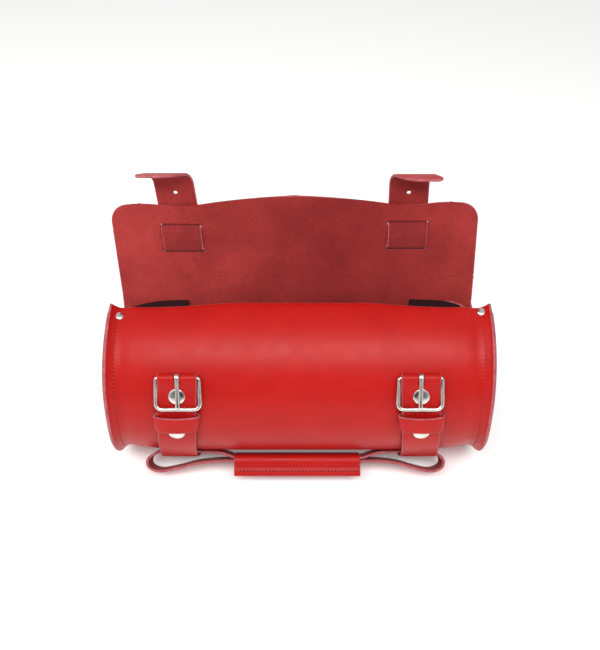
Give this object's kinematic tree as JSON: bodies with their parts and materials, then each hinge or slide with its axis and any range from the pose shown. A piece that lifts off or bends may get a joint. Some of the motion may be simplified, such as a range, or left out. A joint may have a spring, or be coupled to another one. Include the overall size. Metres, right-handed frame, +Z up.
{
  "type": "barrel bag",
  "caption": "Small leather barrel bag lying on its side, flap open, with buckled belts over a flap, round end panels and a looped grip handle.",
  "frame": {"origin": "on the floor, in the middle of the footprint", "axes": "+Z up, +X along the barrel, the buckled front faces -Y"},
  "size_m": [0.29, 0.1557, 0.2339],
  "materials": {
    "smooth_leather": "satin",
    "nickel": "polished",
    "thread": "waxed"
  },
  "bodies": {
    "root": {"body_shell": "smooth_leather", "corner_rivets": "nickel", "strap_rivets": "nickel", "end_panel_left": "smooth_leather", "ear_left": "smooth_leather", "end_seam_left": "thread", "belt_left": "smooth_leather", "end_panel_right": "smooth_leather", "ear_right": "smooth_leather", "end_seam_right": "thread", "belt_right": "smooth_leather"},
    "flap_back": {"flap_back": "smooth_leather", "flap_strap_lower_left": "smooth_leather", "flap_strap_lower_right": "smooth_leather"},
    "flap_front": {"flap_front": "smooth_leather", "flap_strap_upper_left": "smooth_leather", "flap_strap_upper_right": "smooth_leather"},
    "handle": {"handle_strap": "smooth_leather", "grip": "smooth_leather", "grip_stitching": "thread"},
    "buckle_frame_left": {"buckle_frame_left": "nickel"},
    "prong_left": {"prong_left": "nickel"},
    "keeper_left": {"keeper_left": "smooth_leather"},
    "strap_tip_left": {"strap_tip_left": "smooth_leather"},
    "buckle_frame_right": {"buckle_frame_right": "nickel"},
    "prong_right": {"prong_right": "nickel"},
    "keeper_right": {"keeper_right": "smooth_leather"},
    "strap_tip_right": {"strap_tip_right": "smooth_leather"}
  },
  "joints": [
    {"name": "flap_hinge", "type": "hinge", "parent": "root", "child": "flap_back", "pos_m": [0, 0.0033, 0.1445], "axis": [-1, 0, 0], "range_deg": [-97, 20]},
    {"name": "flap_fold", "type": "hinge", "parent": "flap_back", "child": "flap_front", "pos_m": [0, 0.01356, 0.17269], "axis": [-1, 0, 0], "range_deg": [-39, 9]},
    {"name": "handle_shift", "type": "slide", "parent": "root", "child": "handle", "axis": [1, 0, 0], "range_m": [-0.0025, 0.0025]},
    {"name": "buckle_hinge_left", "type": "hinge", "parent": "root", "child": "buckle_frame_left", "pos_m": [-0.09, -0.05851, 0.11691], "axis": [-1, 0, 0], "range_deg": [0, 100]},
    {"name": "prong_hinge_left", "type": "hinge", "parent": "buckle_frame_left", "child": "prong_left", "pos_m": [-0.09, -0.05851, 0.11691], "axis": [-1, 0, 0], "range_deg": [0, 60]},
    {"name": "keeper_slide_left", "type": "hinge", "parent": "root", "child": "keeper_left", "pos_m": [-0.09, 0.0033, 0.072], "axis": [-1, 0, 0], "range_deg": [-0.3, 2.8]},
    {"name": "tip_bend_left", "type": "hinge", "parent": "flap_front", "child": "strap_tip_left", "pos_m": [-0.09, 0.03158, 0.20875], "axis": [1, 0, 0], "range_deg": [-60, 0]},
    {"name": "buckle_hinge_right", "type": "hinge", "parent": "root", "child": "buckle_frame_right", "pos_m": [0.09, -0.05851, 0.11691], "axis": [-1, 0, 0], "range_deg": [0, 100]},
    {"name": "prong_hinge_right", "type": "hinge", "parent": "buckle_frame_right", "child": "prong_right", "pos_m": [0.09, -0.05851, 0.11691], "axis": [-1, 0, 0], "range_deg": [0, 60]},
    {"name": "keeper_slide_right", "type": "hinge", "parent": "root", "child": "keeper_right", "pos_m": [0.09, 0.0033, 0.072], "axis": [-1, 0, 0], "range_deg": [-0.3, 2.8]},
    {"name": "tip_bend_right", "type": "hinge", "parent": "flap_front", "child": "strap_tip_right", "pos_m": [0.09, 0.03158, 0.20875], "axis": [1, 0, 0], "range_deg": [-60, 0]}
  ],
  "couplings": [
    {"joint": "flap_fold", "follows": "flap_hinge", "ratio": 0.4}
  ]
}
